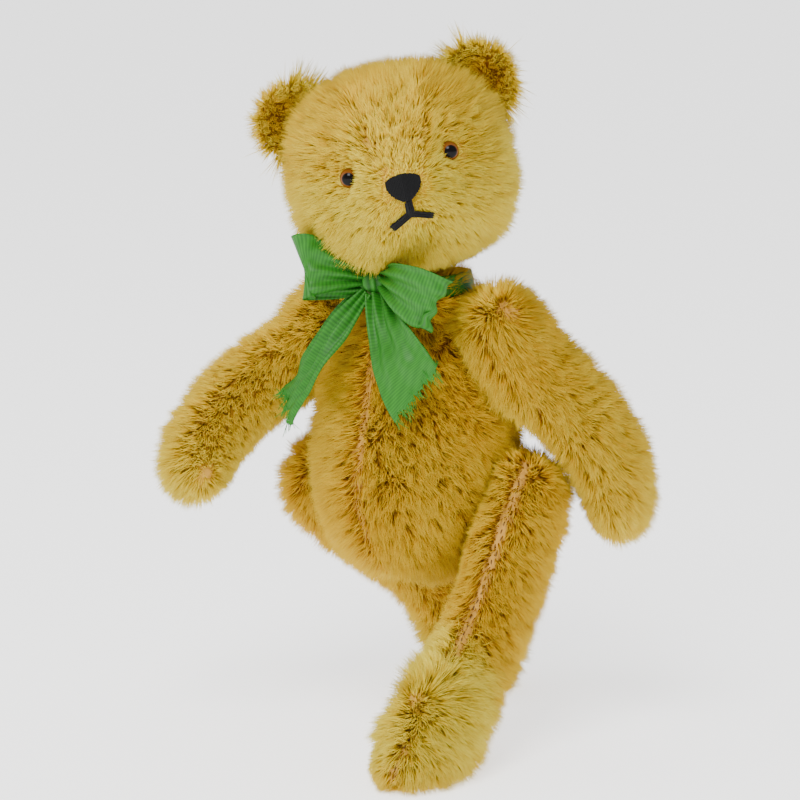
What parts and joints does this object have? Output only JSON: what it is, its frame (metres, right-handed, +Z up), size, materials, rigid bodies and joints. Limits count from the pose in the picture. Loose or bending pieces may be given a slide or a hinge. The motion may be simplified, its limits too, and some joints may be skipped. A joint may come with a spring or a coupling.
{
  "type": "jointed teddy bear",
  "caption": "Small mohair bear with swivelling head, shoulders and hips on disc joints, glass eyes, stitched nose and mouth, and a green neck ribbon.",
  "frame": {"origin": "centre of the footprint at floor level, with the bear in its walking rest pose", "axes": "+Z up, -Y the way the torso faces, +X the bear's own left"},
  "size_m": [0.1076, 0.1126, 0.1829],
  "materials": {
    "mohair_head": "long mohair pile, pale gold",
    "mohair_body": "long mohair pile, amber gold",
    "ear_lining": "mohair pile, shaded brown gold",
    "stuffing": "packed wood wool",
    "glass_amber": "polished brown glass with a black pupil",
    "black_silk": "satin stitch in black thread",
    "green_ribbon": "ribbed taffeta",
    "fibreboard": "pressed board",
    "steel": "plain wire and sheet"
  },
  "bodies": {
    "torso": {"torso_shell": "mohair_body", "torso_stuffing": "stuffing", "neck_lower_disc": "fibreboard", "neck_lower_washer": "steel", "shoulder_left_disc": "fibreboard", "shoulder_left_washer": "steel", "shoulder_right_disc": "fibreboard", "shoulder_right_washer": "steel", "hip_left_disc": "fibreboard", "hip_left_washer": "steel", "hip_right_disc": "fibreboard", "hip_right_washer": "steel", "ribbon_band": "green_ribbon", "ribbon_knot": "green_ribbon", "ribbon_loop_right": "green_ribbon", "ribbon_loop_left": "green_ribbon", "ribbon_tail_right": "green_ribbon", "ribbon_tail_left": "green_ribbon"},
    "head": {"head_shell": "mohair_head", "head_stuffing": "stuffing", "ear_left_lining": "ear_lining", "ear_left_back": "mohair_head", "ear_right_lining": "ear_lining", "ear_right_back": "mohair_head", "eye_left_glass": "glass_amber", "eye_left_shank": "steel", "eye_right_glass": "glass_amber", "eye_right_shank": "steel", "nose_stitching": "black_silk", "mouth_stitching": "black_silk", "neck_upper_disc": "fibreboard", "neck_upper_washer": "steel", "neck_cotter_pin": "steel"},
    "arm_left": {"arm_left_shell": "mohair_body", "arm_left_stuffing": "stuffing", "arm_left_disc": "fibreboard", "arm_left_washer": "steel", "arm_left_cotter_pin": "steel"},
    "arm_right": {"arm_right_shell": "mohair_body", "arm_right_stuffing": "stuffing", "arm_right_disc": "fibreboard", "arm_right_washer": "steel", "arm_right_cotter_pin": "steel"},
    "leg_left": {"leg_left_shell": "mohair_body", "leg_left_stuffing": "stuffing", "leg_left_disc": "fibreboard", "leg_left_washer": "steel", "leg_left_cotter_pin": "steel"},
    "leg_right": {"leg_right_shell": "mohair_body", "leg_right_stuffing": "stuffing", "leg_right_disc": "fibreboard", "leg_right_washer": "steel", "leg_right_cotter_pin": "steel"}
  },
  "joints": [
    {"name": "neck_swivel", "type": "hinge", "parent": "torso", "child": "head", "pos_m": [-0.0001, -0.00621, 0.12526], "axis": [-0.1782, -0.1071, 0.9782], "continuous": true},
    {"name": "shoulder_left", "type": "hinge", "parent": "torso", "child": "arm_left", "pos_m": [0.0176, -0.00561, 0.10636], "axis": [-0.9458, 0, -0.3246], "range_deg": [-60, 105]},
    {"name": "shoulder_right", "type": "hinge", "parent": "torso", "child": "arm_right", "pos_m": [-0.02059, -0.00561, 0.10636], "axis": [-0.9458, 0, 0.3246], "range_deg": [-129, 36]},
    {"name": "hip_left", "type": "hinge", "parent": "torso", "child": "leg_left", "pos_m": [0.02008, -0.00231, 0.06536], "axis": [-0.9643, -0.1531, 0.2162], "range_deg": [-65, 70]},
    {"name": "hip_right", "type": "hinge", "parent": "torso", "child": "leg_right", "pos_m": [-0.02307, -0.00231, 0.06536], "axis": [-0.9643, 0.1531, -0.2162], "range_deg": [-10, 127]}
  ]
}
